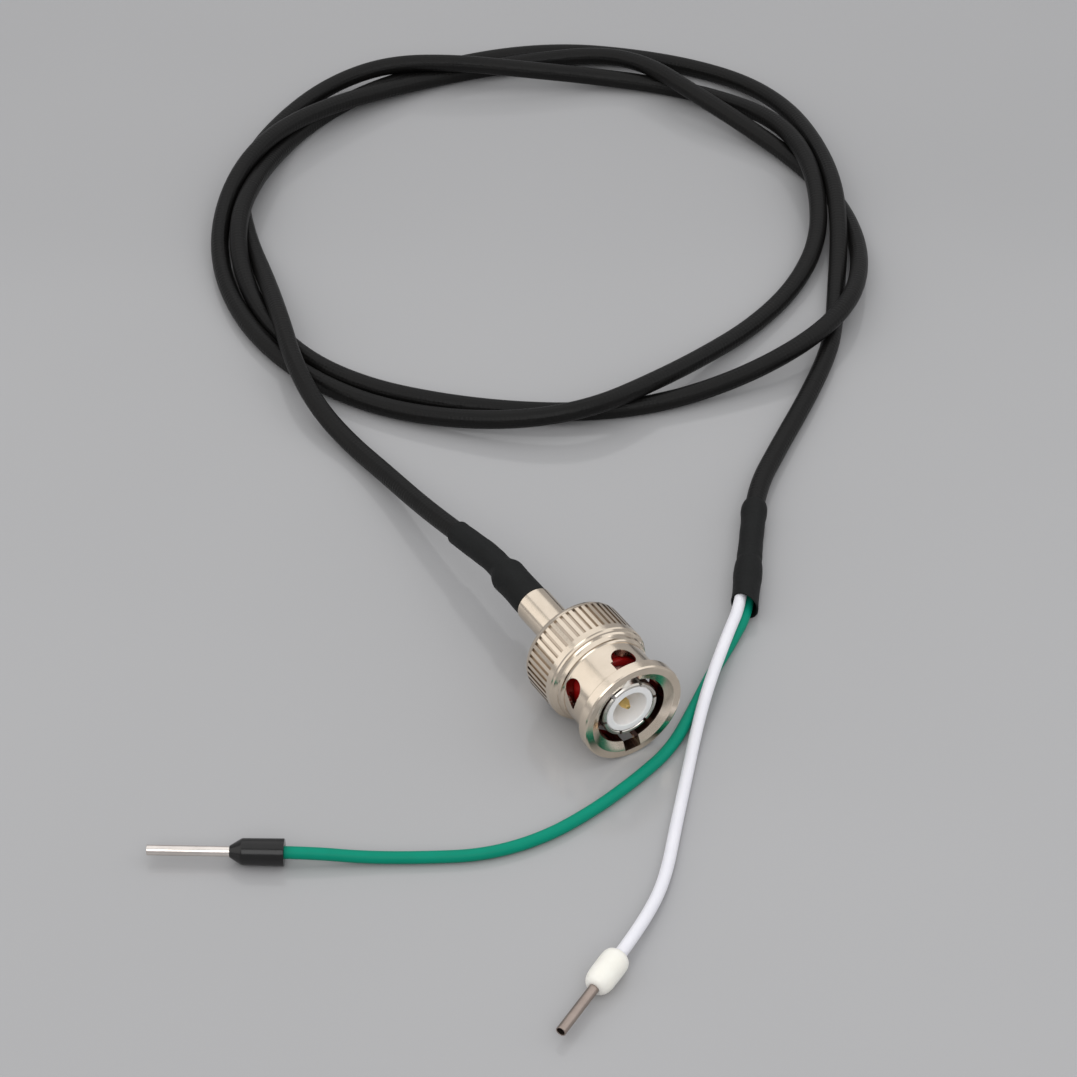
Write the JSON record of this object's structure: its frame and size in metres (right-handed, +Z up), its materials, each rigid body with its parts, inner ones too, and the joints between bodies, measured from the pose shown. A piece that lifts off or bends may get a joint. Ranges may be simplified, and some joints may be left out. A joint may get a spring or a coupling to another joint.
{
  "type": "coaxial test lead, bayonet plug to ferrule wires",
  "caption": "Bayonet coaxial plug on a thin black coaxial lead in a loose coil, ending in a heat-shrunk breakout to two single wires with insulated ferrules.",
  "frame": {"origin": "on the table under the middle of the plug, from the coupling nut's front face to the crimp ferrule's rear end", "axes": "+Z up, -Y the way the plug mates, +Y along the plug towards its cable, +X to the side of the coil"},
  "size_m": [0.1613, 0.1892, 0.0145],
  "materials": {
    "nickel_bright": "bright nickel plate, machined and lightly worn",
    "nickel_contact": "satin nickel plate",
    "spring_steel": "satin spring steel",
    "gold_plate": "gold plated brass",
    "ptfe_white": "waxy white PTFE",
    "gasket_red": "dark red silicone",
    "copper_wire": "bare copper",
    "tinned_copper": "matt tin plate",
    "tinned_strand": "tinned strands",
    "tinned_braid": "tinned braid",
    "pe_natural": "natural polyethylene",
    "pvc_black": "satin black PVC jacket",
    "heatshrink_black": "matt black heat-shrink",
    "pvc_green": "satin green PVC",
    "pvc_white": "satin white PVC",
    "nylon_black": "satin black polyamide",
    "nylon_ivory": "satin off-white polyamide"
  },
  "bodies": {
    "plug": {"plug_body": "nickel_bright", "outer_contact": "nickel_contact", "front_insulator": "ptfe_white", "rear_insulator": "ptfe_white", "centre_contact": "gold_plate", "gasket": "gasket_red", "wave_spring": "spring_steel", "crimp_ferrule": "nickel_bright", "cable_conductor": "copper_wire", "cable_dielectric": "pe_natural", "cable_braid": "tinned_braid", "coax_lead": "pvc_black", "strain_boot": "heatshrink_black", "coax_coil": "pvc_black", "coax_tail": "pvc_black", "breakout_sleeve": "heatshrink_black", "core_splice": "tinned_copper", "shield_splice": "tinned_copper", "core_tail": "copper_wire", "braid_pigtail": "tinned_braid", "white_wire": "pvc_white", "green_wire": "pvc_green", "white_collar": "nylon_ivory", "black_collar": "nylon_black", "white_ferrule_tube": "tinned_copper", "green_ferrule_tube": "tinned_copper", "white_strands": "tinned_strand", "green_strands": "tinned_strand"},
    "nut_carrier": {"thrust_washer": "spring_steel"},
    "nut": {"coupling_nut": "nickel_bright", "retaining_ring": "spring_steel"}
  },
  "joints": [
    {"name": "coupling_slide", "type": "slide", "parent": "plug", "child": "nut_carrier", "axis": [0, -1, 0], "range_m": [0, 0.00055], "stiffness_N_per_m": 2500, "springref_m": -0.0008, "deforming": ["wave_spring"]},
    {"name": "coupling_spin", "type": "hinge", "parent": "nut_carrier", "child": "nut", "pos_m": [0, -0.008, 0.00725], "axis": [0, -1, 0], "continuous": true}
  ]
}
